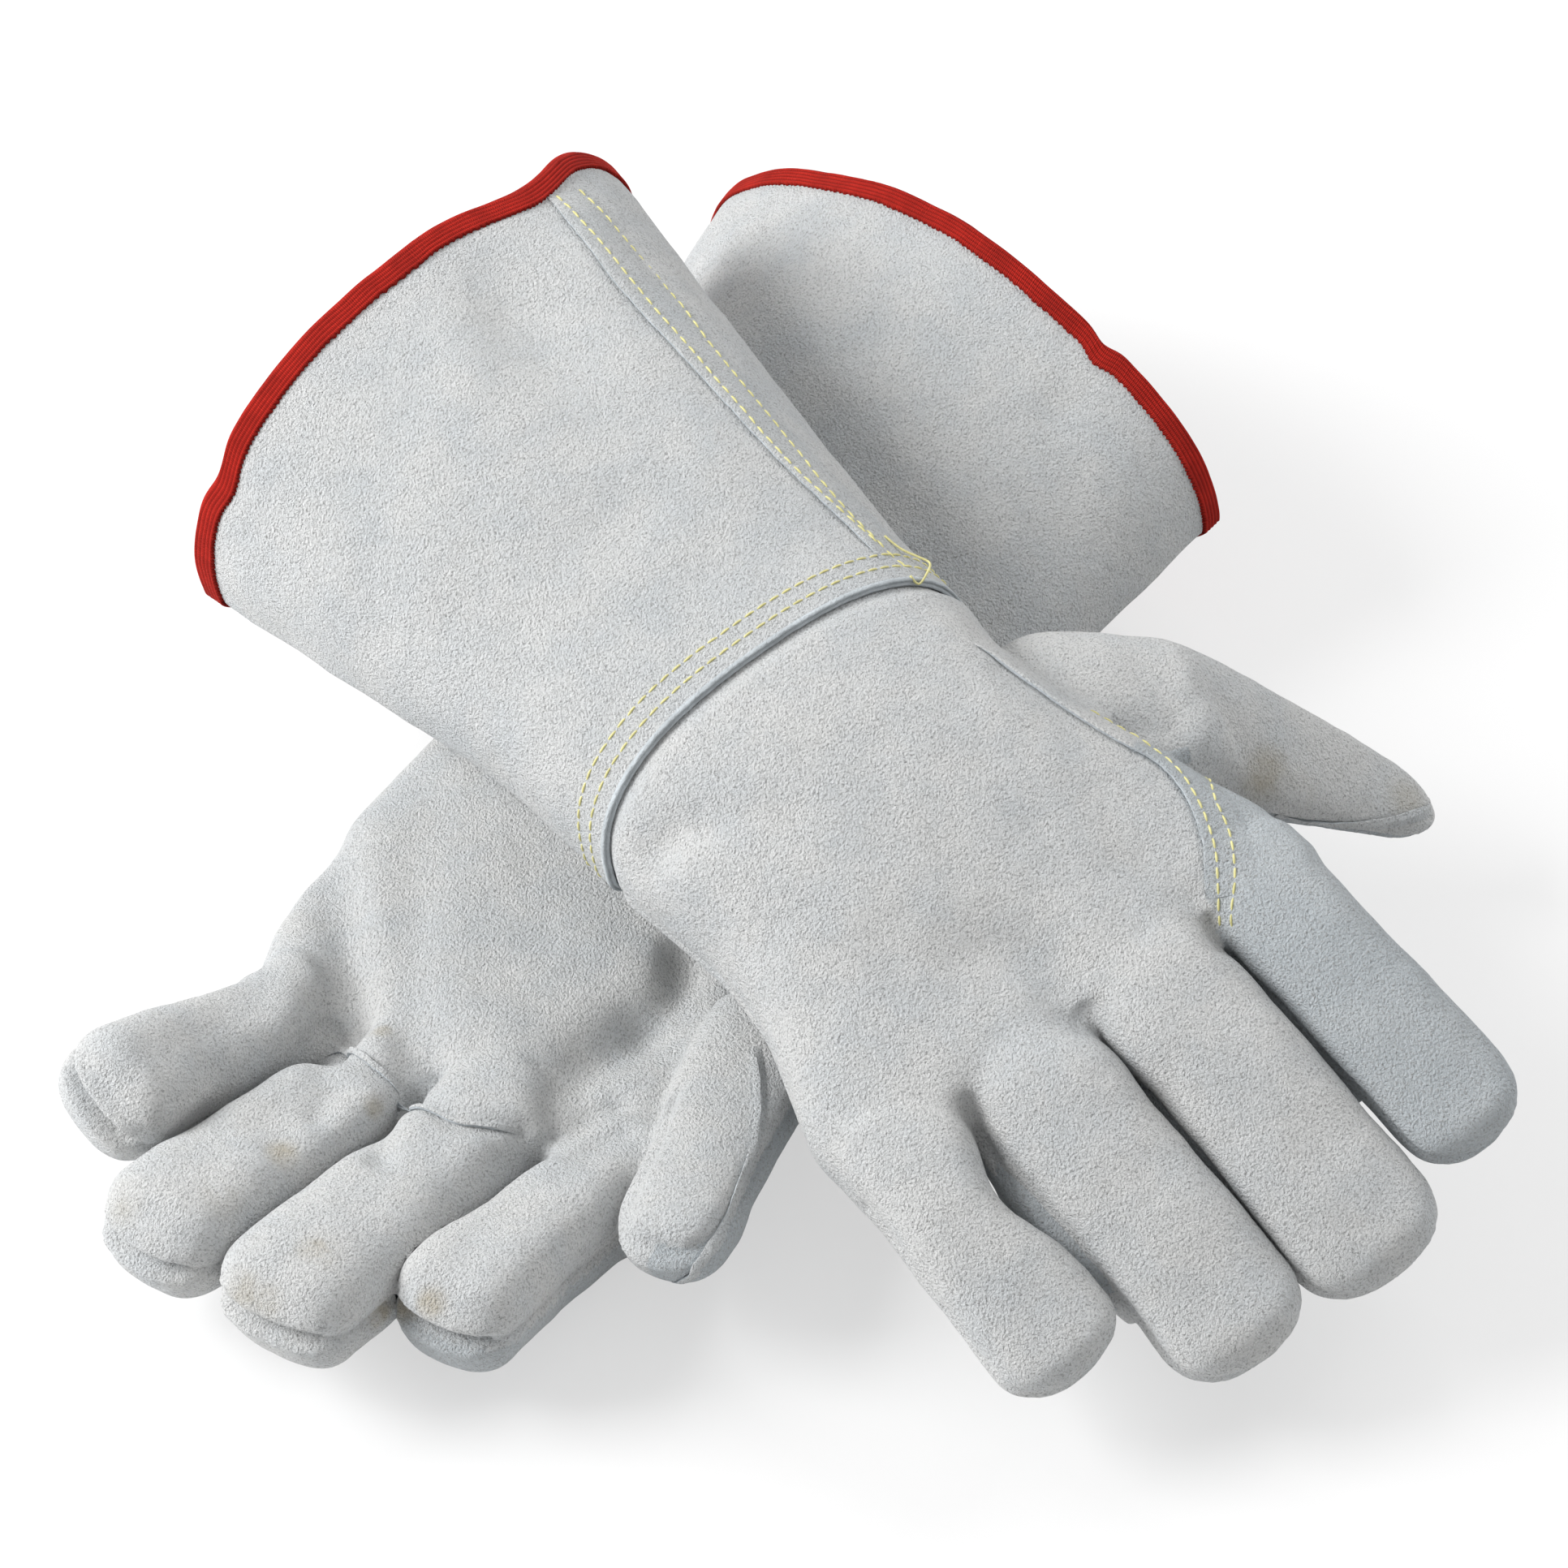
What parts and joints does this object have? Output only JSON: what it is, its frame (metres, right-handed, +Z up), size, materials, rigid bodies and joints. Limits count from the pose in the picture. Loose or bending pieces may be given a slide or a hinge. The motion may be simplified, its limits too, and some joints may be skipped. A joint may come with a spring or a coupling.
{
  "type": "pair of welding gloves",
  "caption": "Crossed pair of light grey split-leather gauntlet welding gloves with flared cuffs, red bound edges, yellow seams and bending fingers and thumbs.",
  "frame": {"origin": "middle of the pair's footprint box, on the table it lies on", "axes": "+Z up from the table, -Y towards the viewer's side where the fingertips point, +X towards the right glove's thumb"},
  "size_m": [0.3366, 0.39, 0.1289],
  "materials": {
    "leather": "matt split suede",
    "leather_cool": "matt split suede, slightly cooler grey",
    "tape": "ribbed woven tape",
    "thread": "twisted sewing thread"
  },
  "bodies": {
    "left_hand": {"left_palm_panel": "leather", "left_back_panel": "leather", "left_side_panel": "leather_cool", "left_cuff_back_panel": "leather", "left_cuff_palm_panel": "leather", "left_cuff_tape": "tape", "left_finger_welt": "leather", "left_wrist_thread": "thread", "left_cuff_seam_thread": "thread", "left_back_seam_thread": "thread"},
    "right_hand": {"right_palm_panel": "leather", "right_back_panel": "leather", "right_side_panel": "leather_cool", "right_cuff_back_panel": "leather", "right_cuff_palm_panel": "leather", "right_cuff_tape": "tape", "right_finger_welt": "leather", "right_wrist_thread": "thread", "right_cuff_seam_thread": "thread", "right_back_seam_thread": "thread"},
    "right_thumb": {"right_thumb_front": "leather", "right_thumb_back": "leather"},
    "right_index": {"right_index_front": "leather", "right_index_back": "leather_cool"},
    "right_middle": {"right_middle_front": "leather", "right_middle_back": "leather"},
    "right_ring": {"right_ring_front": "leather", "right_ring_back": "leather"},
    "right_little": {"right_little_front": "leather", "right_little_back": "leather"},
    "left_thumb": {"left_thumb_front": "leather", "left_thumb_back": "leather"},
    "left_index": {"left_index_front": "leather", "left_index_back": "leather_cool"},
    "left_middle": {"left_middle_front": "leather", "left_middle_back": "leather"},
    "left_ring": {"left_ring_front": "leather", "left_ring_back": "leather"},
    "left_little": {"left_little_front": "leather", "left_little_back": "leather"}
  },
  "joints": [
    {"name": "right_glove_lift", "type": "slide", "parent": "left_hand", "child": "right_hand", "axis": [0, 0, 1], "range_m": [0, 0.25]},
    {"name": "left_thumb_open", "type": "hinge", "parent": "left_hand", "child": "left_thumb", "pos_m": [0.00891, -0.05855, 0.00634], "axis": [0.2592, 0.7611, 0.5946], "range_deg": [0, 12]},
    {"name": "left_index_bend", "type": "hinge", "parent": "left_hand", "child": "left_index", "pos_m": [-0.04325, -0.1237, 0.01516], "axis": [-0.8536, 0.521, 0], "range_deg": [-12, 55]},
    {"name": "left_middle_bend", "type": "hinge", "parent": "left_hand", "child": "left_middle", "pos_m": [-0.06952, -0.10766, 0.01516], "axis": [-0.8536, 0.521, 0], "range_deg": [-12, 55]},
    {"name": "left_ring_bend", "type": "hinge", "parent": "left_hand", "child": "left_ring", "pos_m": [-0.09728, -0.09072, 0.01516], "axis": [-0.8536, 0.521, 0], "range_deg": [-12, 55]},
    {"name": "left_little_bend", "type": "hinge", "parent": "left_hand", "child": "left_little", "pos_m": [-0.12318, -0.07491, 0.01516], "axis": [-0.8536, 0.521, 0], "range_deg": [-12, 55]},
    {"name": "right_thumb_open", "type": "hinge", "parent": "right_hand", "child": "right_thumb", "pos_m": [0.05766, -0.00922, 0.08104], "axis": [0.5504, -0.631, 0.5467], "range_deg": [0, 25]},
    {"name": "right_index_bend", "type": "hinge", "parent": "right_hand", "child": "right_index", "pos_m": [0.11238, -0.07749, 0.06423], "axis": [0.7829, 0.594, 0.1852], "range_deg": [-12, 55]},
    {"name": "right_middle_bend", "type": "hinge", "parent": "right_hand", "child": "right_middle", "pos_m": [0.08483, -0.0984, 0.05771], "axis": [0.7829, 0.594, 0.1852], "range_deg": [-12, 55]},
    {"name": "right_ring_bend", "type": "hinge", "parent": "right_hand", "child": "right_ring", "pos_m": [0.0557, -0.1205, 0.05082], "axis": [0.7829, 0.594, 0.1852], "range_deg": [-12, 55]},
    {"name": "right_little_bend", "type": "hinge", "parent": "right_hand", "child": "right_little", "pos_m": [0.02854, -0.14111, 0.04439], "axis": [0.7829, 0.594, 0.1852], "range_deg": [-12, 55]}
  ]
}
